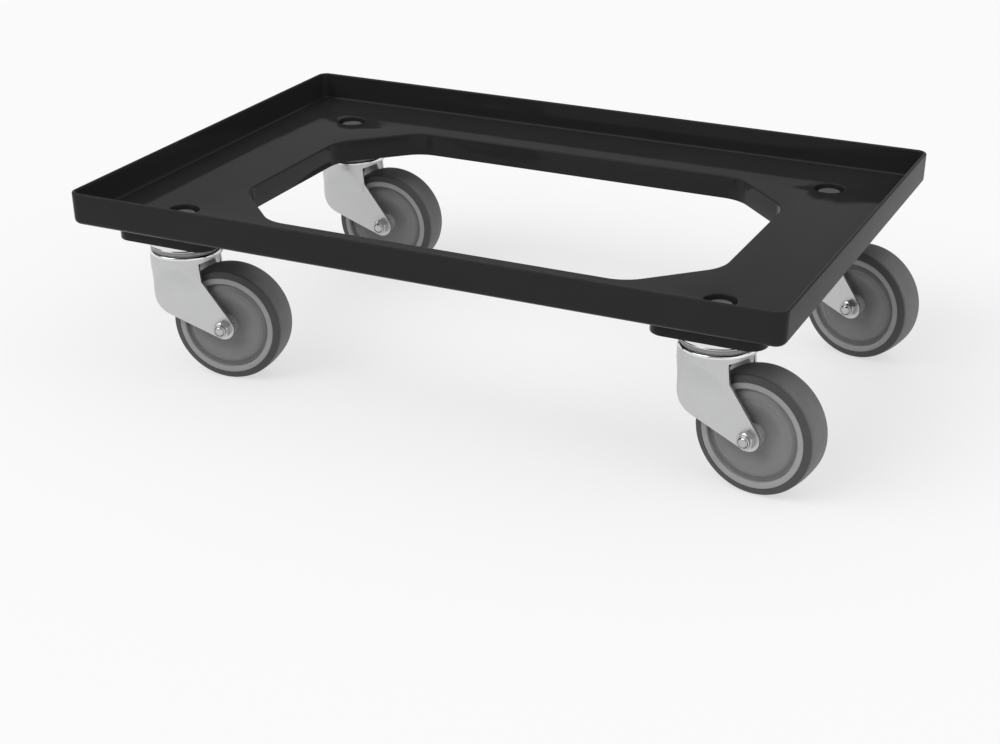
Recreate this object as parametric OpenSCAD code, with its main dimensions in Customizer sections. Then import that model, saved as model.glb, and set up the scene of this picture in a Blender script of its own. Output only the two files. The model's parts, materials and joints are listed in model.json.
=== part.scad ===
// Crate dolly: a moulded tray frame with a rim round its deck and a large opening,
// carried by four swivel casters. The deck's top face is z = 0, the origin is the
// middle of the tray, +X runs along the long side and the casters trail towards +X.

/* [Tray] */
// Outside length of the tray
tray_length = 620; // [600:1:680]
// Outside width of the tray
tray_width = 420; // [400:1:460]
// Height of the rim above the deck
rim_height = 25; // [15:1:40]
// Thickness of the rim wall
rim_wall = 3; // [2:0.1:4]
// Thickness of the deck plate
deck_thickness = 3; // [2.5:0.1:4]
// Outside radius of the tray's corners in plan
corner_radius = 10; // [8:0.5:20]
// Radius of the rounded edge under the rim
edge_radius = 5; // [4.5:0.1:7]
// Radius of the fillet between rim and deck
deck_fillet = 2.5; // [1:0.1:4]

/* [Opening] */
// Width of the deck along each long side
side_strip = 72; // [66:1:90]
// Width of the deck at each short end
end_strip = 91; // [84:1:120]
// Distance from a caster's axis to the slanted edge
slant_distance = 61.5; // [56:0.5:75]
// Radius of the opening's corners in plan
opening_radius = 35; // [20:1:60]
// Depth of skirt and pads below the deck's top face
frame_depth = 21; // [19:0.5:30]
// Thickness of the skirt round the opening
skirt_wall = 3; // [2.6:0.1:4]

/* [Caster pads] */
// Distance of a caster's axis from the short end
caster_end_inset = 70; // [66:1:80]
// Distance of a caster's axis from the long side
caster_side_inset = 65; // [60:1:74]
// Length of a pad along the tray
pad_length = 92; // [84:1:104]
// Width of a pad across the tray
pad_width = 76; // [70:1:84]
// Radius of a pad's corners in plan
pad_radius = 14; // [8:1:20]
// Thickness of a pad's walls and webs
pad_wall = 3.2; // [2.5:0.1:4]
// Diameter of the recess for the bolt head
recess_diameter = 26; // [26:0.5:32]
// Radius of the recess's upper edge
recess_edge = 1.2; // [0.5:0.1:2]
// Depth of the bolt head's top below the deck
head_below_deck = 3; // [2:0.1:6]

/* [Ribs] */
// Thickness of the ribs under the deck
rib_thickness = 2.4; // [1.8:0.1:3]
// Largest distance between cross ribs
rib_pitch = 46; // [30:1:70]

/* [Mounting bolts] */
// Thread diameter of the mounting bolts
bolt_d = 12; // [10:0.5:12]
// Width across flats of their heads and nuts
bolt_flats = 19; // [17:0.5:19]
// Height of a bolt head
bolt_head_h = 7.5; // [6:0.1:8]
// Height of a nut
nut_h = 10; // [8:0.1:11]
// Outside diameter of a washer
washer_d = 24; // [21:0.5:24]
// Thickness of a washer
washer_t = 2.5; // [1.5:0.1:3]
// Length of bolt that shows below its nut
bolt_tail = 2.5; // [1:0.1:3.5]

/* [Swivel head] */
// Outside diameter of the race cup and the fork's crown
head_d = 62; // [60:0.5:70]
// Outside height of the race cup
cup_h = 7.5; // [7:0.1:9]
// Sheet thickness of the race cup
cup_sheet = 3; // [2.5:0.1:3.2]
// Height of the gap that the dust ring fills
dust_gap = 3.5; // [3:0.1:4.5]
// Diameter of the upper balls
upper_ball_d = 6; // [5.6:0.1:6.4]
// Diameter of the circle of upper balls
upper_circle_d = 43; // [42:0.5:45]
// Diameter of the lower balls
lower_ball_d = 5; // [4.5:0.1:5.2]
// Diameter of the circle of lower balls
lower_circle_d = 29; // [28:0.5:31]
// Outside diameter of the hollow kingpin
kingpin_d = 18; // [17:0.5:19]
// Running clearance of a shaft in its hole
running_gap = 0.05; // [0.03:0.01:0.09]

/* [Fork] */
// Sheet thickness of the fork
fork_sheet = 2.5; // [2:0.1:3]
// Distance of the wheel axle behind the swivel axis
trail = 40; // [38:0.5:48]
// Distance of the legs' front edge ahead of the swivel axis
leg_front = 22.5; // [18:0.5:26]
// Distance of the legs' back edge behind the swivel axis
leg_back = 21.5; // [18:0.5:24]
// Radius of the legs' round ends
leg_end_radius = 10; // [9:0.1:13]
// Radius of the legs' lower front corner
leg_corner_radius = 22; // [10:1:28]
// Slope of the legs' lower edge, in degrees
leg_slope = 20.8; // [14:0.1:26]
// Height of the skirt in front of the crown
front_skirt = 14; // [8:0.5:18]
// Depth of the knee in the legs' back edge below the pad
leg_knee = 34.5; // [30:0.5:40]
// Radius of the crown's rounded shoulder
shoulder_radius = 3; // [2:0.1:4]

/* [Axle] */
// Thread diameter of the axle bolt
axle_d = 8; // [8:0.5:9]
// Width across flats of its head and nut
axle_flats = 13; // [13:0.5:15]
// Height of the axle bolt's head
axle_head_h = 5.3; // [4:0.1:7]
// Height of the axle nut
axle_nut_h = 7.5; // [6.5:0.1:9]
// Length of axle bolt that shows past its nut
axle_tail = 1; // [0.5:0.1:4]
// Outside diameter of the axle sleeve
sleeve_d = 12; // [11.5:0.1:14]
// Thickness of the spacer washers beside the hub
spacer_t = 1; // [0.6:0.1:2]

/* [Wheel] */
// Outside diameter of the tyre
wheel_d = 100; // [90:1:110]
// Width of the tyre
tyre_width = 32; // [28:0.5:36]
// Height of the tyre over the hub's flange
tyre_h = 7; // [5:0.5:10]
// How much smaller the tread's radius is at its edges than in its middle
tread_crown = 1; // [0.4:0.1:2]
// How far each side of the tyre leans in towards the tread
tyre_draft = 1.8; // [0.5:0.1:3]
// Width of the hub's raised edge
hub_edge = 5; // [3:0.5:7]
// Depth of the groove inside the raised edge
hub_groove = 3.5; // [2:0.1:4]
// Radius at which the cover's disc begins to slope down to the groove
cover_crest_r = 32; // [26:0.5:33]
// Sheet thickness of the cover
cover_sheet = 1.5; // [1:0.1:2]
// How far the hub's boss stands out of the tyre's side
boss_stand = 2.8; // [2:0.1:4]

/* [Headings] */
// Heading of the front left caster, in degrees from +X
heading_front_left = 9; // [-180:1:180]
// Heading of the front right caster, in degrees from +X
heading_front_right = -9; // [-180:1:180]
// Heading of the back left caster, in degrees from +X
heading_back_left = 3; // [-180:1:180]
// Heading of the back right caster, in degrees from +X
heading_back_right = -13; // [-180:1:180]

/* [Hidden] */
$fn = 96;
// Small overlap that joins two solids of one moulding
join = 0.2;
// Gap between faces that turn past each other
face_gap = 0.3;
// Clearance of a bolt in the hole that it is pushed through
bolt_gap = 0.25;
// Small bevel on turned and moulded edges
bevel = 0.8;

plastic = "#2b2b2c";
zinc = "#c3c5c8";
bright_zinc = "#d8dadd";
dark_zinc = "#8d8f92";
hub_grey = "#85868a";
cover_grey = "#6f7073";
tyre_grey = "#4e4f52";
seal_grey = "#5a5b5e";

// Tray, with its origin in the middle of the deck's top face
half_l = tray_length / 2;
half_w = tray_width / 2;
open_l = half_l - end_strip;
open_w = half_w - side_strip;
caster_x = half_l - caster_end_inset;
caster_y = half_w - caster_side_inset;
recess_depth = head_below_deck + bolt_head_h + washer_t;
boss_r = recess_diameter / 2 + pad_wall;
bolt_hole_r = bolt_d / 2 + bolt_gap;
// Length that the slanted edge takes off each side of the opening
slant_leg = open_l + open_w - caster_x - caster_y + slant_distance * sqrt(2);

// Swivel head, in a caster's own frame: its pad is z = 0 and it trails along +x
head_r = head_d / 2;
kingpin_r = kingpin_d / 2;
ball_sink = 0.5;
crown_sheet = fork_sheet + 0.5;
crown_race_z = 2 * ball_sink - upper_ball_d - cup_sheet;
crown_under_z = crown_race_z - crown_sheet;
crown_z = -cup_h - dust_gap;
step_r = upper_circle_d / 2 + upper_ball_d / 2 + 1;
lower_race_z = crown_under_z - lower_ball_d + 2 * ball_sink;
lower_race_t = 2.8;
kingpin_head_h = 2.3;
kingpin_head_r = kingpin_r + 3;
kingpin_z = lower_race_z - lower_race_t - kingpin_head_h;
upper_ball_z = (crown_race_z - cup_sheet) / 2;
lower_ball_z = (crown_under_z + lower_race_z) / 2;
nut_z = kingpin_z - washer_t;
bolt_end_z = nut_z - nut_h - bolt_tail;

// The wheel passes under the nut's corners and the bolt's end with this gap
nut_gap = 1.7;
wheel_r = wheel_d / 2;
function tyre_rise(r) = sqrt(wheel_r * wheel_r - (trail - r) * (trail - r));
axle_drop = nut_gap + max(
    tyre_rise(bolt_flats / 2 / cos(30)) - nut_z + nut_h,
    tyre_rise(bolt_d / 2) - bolt_end_z
);

// Wheel, measured from its middle plane and from its axle
face = tyre_width / 2;
hub_half = face + boss_stand;
hub_r = wheel_r - tyre_h;
edge_r = hub_r - hub_edge;
sleeve_r = sleeve_d / 2;
hub_boss_r = sleeve_r + 3.5;
web_half = 3;
ledge = [2.5, cover_sheet + hub_groove];
// The tyre grips the hub's band in a shallow groove
lock_half = face / 2;
lock_depth = 2;

// Legs of the fork, measured from the wheel's middle plane
leg_inner = hub_half + face_gap + spacer_t;
leg_outer = leg_inner + fork_sheet;
axle_r = axle_d / 2;
leg_low_z = -axle_drop - 2 * leg_end_radius;
// The crown's sides are drawn in between these levels
draw_top_z = crown_z - shoulder_radius - 4;
draw_low_z = crown_z - 30;
draw_radius = 25;
back_skirt = shoulder_radius + 1.5;
leg_top_z = crown_z - back_skirt - 3;
arch_radius = 12;

// Place and heading of each caster: front left, front right, back left, back right
PLACES = [
    [-caster_x, -caster_y, heading_front_left],
    [caster_x, -caster_y, heading_front_right],
    [-caster_x, caster_y, heading_back_left],
    [caster_x, caster_y, heading_back_right]
];

// Corner points of the opening, counter-clockwise
OPENING = [
    [open_l, -open_w + slant_leg], [open_l, open_w - slant_leg],
    [open_l - slant_leg, open_w], [-open_l + slant_leg, open_w],
    [-open_l, open_w - slant_leg], [-open_l, -open_w + slant_leg],
    [-open_l + slant_leg, -open_w], [open_l - slant_leg, -open_w]
];
RECTANGLE = [[half_l, -half_w], [half_l, half_w], [-half_l, half_w], [-half_l, -half_w]];

// Vector helpers
function unit(v) = v / norm(v);
function heading_of(v) = atan2(v[1], v[0]);
function prev_i(points, i) = (i + len(points) - 1) % len(points);
function next_i(points, i) = (i + 1) % len(points);
// Angle that a path turns through at point i, positive to the left
function turn_at(points, i) =
    let (a = unit(points[i] - points[prev_i(points, i)]),
         b = unit(points[next_i(points, i)] - points[i]))
    atan2(a[0] * b[1] - a[1] * b[0], a[0] * b[0] + a[1] * b[1]);
// Length that a corner of radius r takes off each of its two sides
function cut_back(points, i, r) = r * tan(abs(turn_at(points, i)) / 2);
// Centre of the arc at point i, r inside the two sides
function arc_centre(points, i, r) =
    let (a = unit(points[i] - points[prev_i(points, i)]),
         s = sign(turn_at(points, i)))
    points[i] - a * cut_back(points, i, r) + s * r * [-a[1], a[0]];
// Points of the arc at point i, from its first side to its second
function arc_points(points, i, r, steps) =
    let (c = arc_centre(points, i, r),
         s = sign(turn_at(points, i)),
         a0 = heading_of(points[i] - points[prev_i(points, i)]) - 90 * s)
    [for (k = [0:steps]) c + r * [cos(a0 + turn_at(points, i) * k / steps),
                                  sin(a0 + turn_at(points, i) * k / steps)]];

// A flat outline whose corners are rounded by the radii in the second list
module rounded_outline(points, radii, steps = 8)
    polygon([for (i = [0:len(points) - 1])
        each (radii[i] > 0 ? arc_points(points, i, radii[i], steps) : [points[i]])]);

// A convex outline moved outwards by grow, its corners of radius r as true arcs
module convex_outline(points, r, grow = 0) {
    centres = [for (i = [0:len(points) - 1]) arc_centre(points, i, r)];
    polygon([for (i = [0:len(points) - 1]) each [
        let (a = heading_of(points[i] - points[prev_i(points, i)]) - 90)
        centres[i] + (r + grow) * [cos(a), sin(a)],
        let (a = heading_of(points[next_i(points, i)] - points[i]) - 90)
        centres[i] + (r + grow) * [cos(a), sin(a)]
    ]]);
    for (c = centres) translate(c) circle(r = r + grow);
}

// A profile carried round a convex outline: x is outwards from it and y is up
module carry(points, r) {
    for (i = [0:len(points) - 1]) {
        n = next_i(points, i);
        step = points[n] - points[i];
        start = points[i] + unit(step) * cut_back(points, i, r);
        side = norm(step) - cut_back(points, i, r) - cut_back(points, n, r);
        translate([start[0], start[1], 0])
            rotate([0, 0, heading_of(step) - 90])
                rotate([90, 0, 0])
                    translate([0, 0, -side])
                        linear_extrude(side) children();
        c = arc_centre(points, n, r);
        translate([c[0], c[1], 0])
            rotate([0, 0, heading_of(step) - 90])
                rotate_extrude(angle = turn_at(points, n))
                    translate([r, 0]) children();
    }
}

// A quarter of the area between a square's corner and the circle of radius r inside it
module corner_web(r) {
    difference() {
        square(r);
        translate([r, r]) circle(r = r);
    }
}

// Section of the rim: wall with a round top, rounded lower edge and inner fillet
module rim_section() {
    top = rim_height - rim_wall / 2;
    difference() {
        union() {
            translate([-rim_wall, -deck_thickness]) square([rim_wall, top + deck_thickness]);
            translate([-rim_wall / 2, top]) circle(d = rim_wall);
            translate([-edge_radius - 1, -deck_thickness])
                square([edge_radius + 1, deck_thickness]);
            translate([-rim_wall, 0]) mirror([1, 0]) corner_web(deck_fillet);
        }
        translate([0, -deck_thickness]) mirror([1, 0]) corner_web(edge_radius);
    }
}

// Plan of one caster pad about its own axis
module pad_plan(inset = 0) {
    l = pad_length / 2 - inset;
    w = pad_width / 2 - inset;
    convex_outline([[l, -w], [l, w], [-l, w], [-l, -w]], pad_radius - inset);
}

// One caster pad: a wall, a boss under the recess and webs between them
module pad() {
    translate([0, 0, -frame_depth]) {
        linear_extrude(frame_depth - join) difference() {
            pad_plan();
            pad_plan(pad_wall);
        }
        cylinder(r = boss_r, h = frame_depth - join);
        linear_extrude(frame_depth - join) intersection() {
            pad_plan(pad_wall / 2);
            for (a = [0:45:135])
                rotate(a) square([pad_length * 2, pad_wall], center = true);
        }
    }
}

// Everything that is cut out round one mounting bolt
module bolt_recess() {
    translate([0, 0, -recess_depth])
        cylinder(d = recess_diameter, h = recess_depth + 1);
    rotate_extrude() translate([recess_diameter / 2 - join, 0]) difference() {
        translate([0, -recess_edge]) square([recess_edge + join, recess_edge + 1]);
        translate([recess_edge + join, -recess_edge]) circle(r = recess_edge);
    }
    translate([0, 0, -frame_depth - 1]) cylinder(r = bolt_hole_r, h = frame_depth);
}

// A rib across a deck strip of width w: full depth at the skirt, none at the rim
module strip_rib(w) {
    rotate([90, 0, 0]) translate([0, 0, -rib_thickness / 2])
        linear_extrude(rib_thickness) polygon([
            [-join, -join], [w - edge_radius, -join],
            [w - edge_radius, -deck_thickness], [0, 1 - frame_depth], [-join, 1 - frame_depth]
        ]);
}

// Ribs under one deck strip of width w, spread over a run, with one rib along it
module strip_ribs(w, run) {
    count = max(1, ceil(run / rib_pitch) - 1);
    inner = w - skirt_wall;
    for (i = [1:count])
        translate([skirt_wall, run * (i / (count + 1) - 0.5), 0]) strip_rib(inner);
    along = inner * 0.5;
    translate([skirt_wall + along, 0, -join]) mirror([0, 0, 1])
        translate([-rib_thickness / 2, -run / 2, 0])
            cube([rib_thickness, run, frame_depth / 2]);
}

module tray_frame() color(plastic) difference() {
    union() {
        translate([0, 0, -deck_thickness]) linear_extrude(deck_thickness)
            convex_outline(RECTANGLE, corner_radius, -edge_radius);
        carry(RECTANGLE, corner_radius) rim_section();
        translate([0, 0, -frame_depth]) linear_extrude(frame_depth - join)
            convex_outline(OPENING, opening_radius, skirt_wall);
        for (p = PLACES) translate([p[0], p[1], 0]) pad();
        side_run = 2 * caster_x - pad_length + pad_wall;
        end_run = 2 * caster_y - pad_width + pad_wall;
        for (s = [-1, 1]) {
            translate([0, s * open_w, 0]) rotate(s * 90) strip_ribs(side_strip, side_run);
            translate([s * open_l, 0, 0]) rotate(s > 0 ? 0 : 180)
                strip_ribs(end_strip, end_run);
        }
    }
    translate([0, 0, -frame_depth - 1]) linear_extrude(frame_depth + 2)
        convex_outline(OPENING, opening_radius);
    for (p = PLACES) translate([p[0], p[1], 0]) bolt_recess();
}

// A hexagonal prism whose corners are turned off to a cone at its top
module hexagon(flats, h) intersection() {
    corner_r = flats / 2 / cos(30);
    top_r = flats / 2 * 0.95;
    cylinder(r = corner_r, h = h, $fn = 6);
    rotate_extrude() polygon([
        [0, 0], [corner_r + join, 0], [corner_r + join, h - (corner_r + join - top_r) * tan(30)],
        [top_r, h], [0, h]
    ]);
}

// A ring that stands on z = 0
module ring(outer_r, inner_r, h) difference() {
    cylinder(r = outer_r, h = h);
    translate([0, 0, -1]) cylinder(r = inner_r, h = h + 2);
}

// A threaded shank from z = 0 up to h, with a bevelled end
module shank(r, h) {
    cylinder(r = r, h = h - bevel);
    translate([0, 0, h - bevel]) cylinder(r1 = r, r2 = r - bevel, h = bevel);
}

// At every caster's place, with the pad's face as z = 0
module at_casters() for (p = PLACES) translate([p[0], p[1], -frame_depth]) children();

// In the frame of caster i: the pad's face is z = 0 and the caster trails along +x
module in_caster(i) translate([PLACES[i][0], PLACES[i][1], -frame_depth])
    rotate(PLACES[i][2]) children();

module mounting_bolts() color(dark_zinc) at_casters() {
    seat_z = frame_depth - recess_depth + washer_t;
    translate([0, 0, seat_z]) {
        hexagon(bolt_flats, bolt_head_h);
        translate([0, 0, join]) mirror([0, 0, 1]) shank(bolt_d / 2, seat_z + join - bolt_end_z);
    }
}

module mounting_washers() color(zinc) at_casters()
    for (z = [frame_depth - recess_depth, nut_z])
        translate([0, 0, z]) ring(washer_d / 2, bolt_hole_r, washer_t);

module mounting_nuts() color(zinc) at_casters() translate([0, 0, nut_z]) mirror([0, 0, 1])
    difference() {
        hexagon(bolt_flats, nut_h);
        translate([0, 0, -1]) cylinder(r = bolt_d / 2 + running_gap, h = nut_h + 2);
    }

// A rectangle of a section, from r0 to r1 and from z0 up to z1
module bar(r0, r1, z0, z1) translate([r0, z0]) square([r1 - r0, z1 - z0]);

// Takes the outer upper corner of a section off to a round of radius r
module round_off(r1, z1, r) difference() {
    children();
    translate([r1, z1]) rotate(180) corner_web(r);
}

// Groove of a row of balls, with a gap round them
module ball_groove(circle_d, ball_d, z, gap) translate([0, 0, z])
    rotate_extrude() translate([circle_d / 2, 0]) circle(d = ball_d + 2 * gap);

// The cup over the upper balls: its flat top lies on the pad
module race_cup(i) color(bright_zinc) in_caster(i) difference() {
    rotate_extrude() round_off(head_r, 0, 2) difference() {
        bar(kingpin_r + running_gap, head_r, -cup_h, 0);
        bar(0, head_r - fork_sheet, -cup_h - 1, -cup_sheet);
    }
    ball_groove(upper_circle_d, upper_ball_d, upper_ball_z, running_gap);
}

// The hollow pin that the fork turns on, its lower end riveted out
module kingpin(i) color(zinc) in_caster(i) rotate_extrude() difference() {
    union() {
        bar(bolt_hole_r, kingpin_r, kingpin_z, 0);
        bar(bolt_hole_r, kingpin_head_r, kingpin_z, kingpin_z + kingpin_head_h);
    }
    translate([kingpin_head_r, kingpin_z]) rotate(90) corner_web(bevel);
}

// The race under the lower balls, held up by the kingpin's riveted end
module lower_race(i) color(zinc) in_caster(i) difference() {
    rotate_extrude() bar(kingpin_r + running_gap, lower_circle_d / 2 + lower_ball_d / 2 + bevel,
        lower_race_z - lower_race_t, lower_race_z);
    ball_groove(lower_circle_d, lower_ball_d, lower_ball_z, running_gap);
}

// A full row of balls with a small gap from one to the next
module ball_row(circle_d, ball_d, z) {
    count = floor(180 / asin((ball_d + running_gap) / circle_d));
    for (k = [0:count - 1]) rotate(360 * k / count)
        translate([circle_d / 2, 0, z]) sphere(d = ball_d, $fn = 32);
}

module balls(i) color(bright_zinc) in_caster(i) {
    ball_row(upper_circle_d, upper_ball_d, upper_ball_z);
    ball_row(lower_circle_d, lower_ball_d, lower_ball_z);
}

// The dust ring lies on the crown and closes the gap under the cup
module dust_ring(i) color(seal_grey) in_caster(i) translate([0, 0, crown_z])
    ring(head_r - 1, step_r + face_gap, dust_gap - face_gap);

// Outline of the fork seen from the side, in the caster's own frame
module fork_outline() {
    axle = [trail, -axle_drop];
    low = [-cos(leg_slope), sin(leg_slope)];
    low_touch = axle + leg_end_radius * [-sin(leg_slope), -cos(leg_slope)];
    knee = [leg_back + 1, -leg_knee];
    // The upper edge leaves the knee and touches the round end
    lean = heading_of(axle - knee) + asin(leg_end_radius / norm(axle - knee));
    up_touch = axle + leg_end_radius * [cos(lean + 90), sin(lean + 90)];
    up = unit(up_touch - knee);
    // Where the two edges would meet beyond the round end
    reach = ((up_touch[0] - low_touch[0]) * low[1] - (up_touch[1] - low_touch[1]) * low[0])
        / (low[0] * up[1] - low[1] * up[0]);
    corner_z = low_touch[1] + (low_touch[0] + leg_front) * tan(leg_slope);
    out = head_r + 2;
    skirt_z = crown_z - front_skirt;
    rounded_outline([
        up_touch + up * reach, knee, [leg_back, leg_top_z],
        [out, crown_z - back_skirt], [out, 0], [-out, 0], [-out, skirt_z + 3],
        [-leg_front, skirt_z - 2], [-leg_front, corner_z]
    ], [leg_end_radius, 4, 4, 0, 0, 0, 0, 4, leg_corner_radius]);
}

// The drawn shape of a fork: a round crown whose sides are drawn in to flat legs.
// Inset by the sheet's thickness it is the hollow between the legs.
module drawn_body(inset) intersection() {
    r = head_r - inset;
    w = leg_outer - inset;
    top_z = crown_z - shoulder_radius + (inset > 0 ? join : 0);
    translate([0, 0, leg_low_z]) {
        linear_extrude(top_z - leg_low_z) circle(r = r);
        // The flat sides begin inside the round crown
        linear_extrude(leg_top_z - leg_low_z)
            translate([0, -w]) square([2 * head_r + trail, 2 * w]);
    }
    rotate([90, 0, 90]) translate([0, 0, -2 * head_r])
        linear_extrude(4 * head_r + trail) rounded_outline([
            [r, 0], [-r, 0], [-r, draw_top_z], [-w, draw_low_z],
            [-w, leg_low_z], [w, leg_low_z], [w, draw_low_z], [r, draw_top_z]
        ], [0, 0, draw_radius, draw_radius, 0, 0, draw_radius, draw_radius]);
}

// Section of the crown: a raised race, a step down and a rounded shoulder
module crown_section() difference() {
    round_off(head_r, crown_z, shoulder_radius) {
        bar(kingpin_r + running_gap, step_r, crown_under_z, crown_race_z);
        bar(step_r - crown_sheet, step_r, crown_z - crown_sheet, crown_race_z);
        bar(step_r - crown_sheet, head_r, crown_z - back_skirt, crown_z);
    }
    bar(0, head_r - fork_sheet, crown_z - front_skirt, crown_z - crown_sheet);
}

// The space between the front edges of the legs, arched under the front skirt
module front_arch() rotate([90, 0, -90]) linear_extrude(2 * head_r)
    rounded_outline([
        [leg_inner, leg_low_z], [leg_inner, crown_z - front_skirt],
        [-leg_inner, crown_z - front_skirt], [-leg_inner, leg_low_z]
    ], [0, arch_radius, arch_radius, 0]);

module fork(i) color(zinc) in_caster(i) difference() {
    union() {
        difference() {
            intersection() {
                drawn_body(0);
                rotate([90, 0, 0]) translate([0, 0, -head_r])
                    linear_extrude(2 * head_r) fork_outline();
            }
            drawn_body(fork_sheet);
            front_arch();
        }
        rotate_extrude() crown_section();
    }
    ball_groove(upper_circle_d, upper_ball_d, upper_ball_z, 0);
    ball_groove(lower_circle_d, lower_ball_d, lower_ball_z, 0);
    translate([trail, 0, -axle_drop]) rotate([90, 0, 0])
        cylinder(r = axle_r + bolt_gap, h = 4 * leg_outer, center = true);
}

// In the frame of caster i's wheel: the axle is the z axis and its nut is at +z
module on_axle(i) in_caster(i) translate([trail, 0, -axle_drop]) rotate([90, 0, 0]) children();

module axle_bolt(i) color(zinc) on_axle(i) {
    translate([0, 0, -leg_outer]) mirror([0, 0, 1]) hexagon(axle_flats, axle_head_h);
    translate([0, 0, -leg_outer - join])
        shank(axle_r, 2 * leg_outer + axle_nut_h + axle_tail + join);
}

// The axle nut: a hexagon with the collar of its locking ring
module axle_nut(i) color(zinc) on_axle(i) translate([0, 0, leg_outer]) difference() {
    union() {
        hexagon(axle_flats, axle_nut_h * 0.75);
        cylinder(d = axle_flats * 0.86, h = axle_nut_h);
    }
    translate([0, 0, -1]) cylinder(r = axle_r + running_gap, h = axle_nut_h + 2);
}

// The tube between the legs that the hub turns on
module axle_sleeve(i) color(zinc) on_axle(i) translate([0, 0, -leg_inner])
    ring(sleeve_r, axle_r + running_gap, 2 * leg_inner);

module spacer_washers(i) color(zinc) on_axle(i) for (side = [0, 1]) mirror([0, 0, side])
    translate([0, 0, leg_inner - spacer_t])
        ring(hub_boss_r - bevel, sleeve_r + running_gap, spacer_t);

// A section whose half above z = 0 is given from its inner to its outer end
module mirrored_section(half) polygon(concat(half,
    [for (k = [len(half) - 1:-1:0]) [half[k][0], -half[k][1]]]));

// The hub: boss, web, ribs and a band that carries tyre and covers
module hub(i) color(hub_grey) on_axle(i) {
    band_r = edge_r - ledge[0];
    rotate_extrude() mirrored_section([
        [sleeve_r + running_gap, hub_half], [hub_boss_r - bevel, hub_half],
        [hub_boss_r, hub_half - bevel], [hub_boss_r, web_half], [band_r, web_half],
        [band_r, face - ledge[1]], [edge_r, face - ledge[1]], [edge_r, face - bevel],
        [edge_r + bevel, face], [hub_r, face],
        [hub_r, lock_half + lock_depth], [hub_r - lock_depth, lock_half]
    ]);
    rib_half = face - ledge[1] - cover_sheet;
    for (a = [0:60:300]) rotate(a)
        translate([hub_boss_r - join, -rib_thickness / 2, -rib_half])
            cube([band_r - hub_boss_r + 2 * join, rib_thickness, 2 * rib_half]);
}

// Section of the disc that closes one side of the hub, with a groove round its edge
module cover_section() {
    rim_r = edge_r - running_gap;
    hole_r = hub_boss_r + running_gap;
    seat_z = face - ledge[1];
    slope = [[rim_r - ledge[0] * 0.7, seat_z + cover_sheet], [cover_crest_r, face - 1.5]];
    polygon([
        [rim_r, seat_z], [rim_r, slope[0][1]], slope[0], slope[1], [hole_r, face - bevel],
        [hole_r, face - bevel - cover_sheet], slope[1] - [0, cover_sheet], [edge_r - ledge[0], seat_z]
    ]);
}

module hub_covers(i) color(cover_grey) on_axle(i) for (side = [0, 1]) mirror([0, 0, side])
    rotate_extrude() cover_section();

// Section of the tyre: sides that lean in, bevelled shoulders and a crowned tread
module tyre_section() intersection() {
    side = face - tyre_draft;
    shoulder_r = wheel_r - tread_crown;
    tread_r = (side * side + tread_crown * tread_crown) / (2 * tread_crown);
    mirrored_section([
        [hub_r - lock_depth, lock_half], [hub_r, lock_half + lock_depth], [hub_r, face],
        [shoulder_r - 2 * bevel, side], [wheel_r, side - 3 * bevel]
    ]);
    translate([wheel_r - tread_r, 0]) circle(r = tread_r);
}

module tyre(i) color(tyre_grey) on_axle(i) rotate_extrude() tyre_section();

tray_frame();
mounting_bolts();
mounting_washers();
mounting_nuts();
race_cup(0);  // front_left_race_cup
race_cup(1);  // front_right_race_cup
race_cup(2);  // back_left_race_cup
race_cup(3);  // back_right_race_cup
kingpin(0);  // front_left_kingpin
kingpin(1);  // front_right_kingpin
kingpin(2);  // back_left_kingpin
kingpin(3);  // back_right_kingpin
lower_race(0);  // front_left_lower_race
lower_race(1);  // front_right_lower_race
lower_race(2);  // back_left_lower_race
lower_race(3);  // back_right_lower_race
balls(0);  // front_left_balls
balls(1);  // front_right_balls
balls(2);  // back_left_balls
balls(3);  // back_right_balls
dust_ring(0);  // front_left_dust_ring
dust_ring(1);  // front_right_dust_ring
dust_ring(2);  // back_left_dust_ring
dust_ring(3);  // back_right_dust_ring
fork(0);  // front_left_fork
fork(1);  // front_right_fork
fork(2);  // back_left_fork
fork(3);  // back_right_fork
axle_bolt(0);  // front_left_axle_bolt
axle_bolt(1);  // front_right_axle_bolt
axle_bolt(2);  // back_left_axle_bolt
axle_bolt(3);  // back_right_axle_bolt
axle_nut(0);  // front_left_axle_nut
axle_nut(1);  // front_right_axle_nut
axle_nut(2);  // back_left_axle_nut
axle_nut(3);  // back_right_axle_nut
axle_sleeve(0);  // front_left_axle_sleeve
axle_sleeve(1);  // front_right_axle_sleeve
axle_sleeve(2);  // back_left_axle_sleeve
axle_sleeve(3);  // back_right_axle_sleeve
spacer_washers(0);  // front_left_spacer_washers
spacer_washers(1);  // front_right_spacer_washers
spacer_washers(2);  // back_left_spacer_washers
spacer_washers(3);  // back_right_spacer_washers
hub(0);  // front_left_hub
hub(1);  // front_right_hub
hub(2);  // back_left_hub
hub(3);  // back_right_hub
hub_covers(0);  // front_left_hub_covers
hub_covers(1);  // front_right_hub_covers
hub_covers(2);  // back_left_hub_covers
hub_covers(3);  // back_right_hub_covers
tyre(0);  // front_left_tyre
tyre(1);  // front_right_tyre
tyre(2);  // back_left_tyre
tyre(3);  // back_right_tyre
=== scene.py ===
"""Crate dolly: a moulded tray on four swivel casters, dressed for rendering.

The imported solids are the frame. New surfaces are worked out with numpy, in metres,
in the same frame as the solids, and each one rides on the body of the part it shows.
"""

import json
import math

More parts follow.
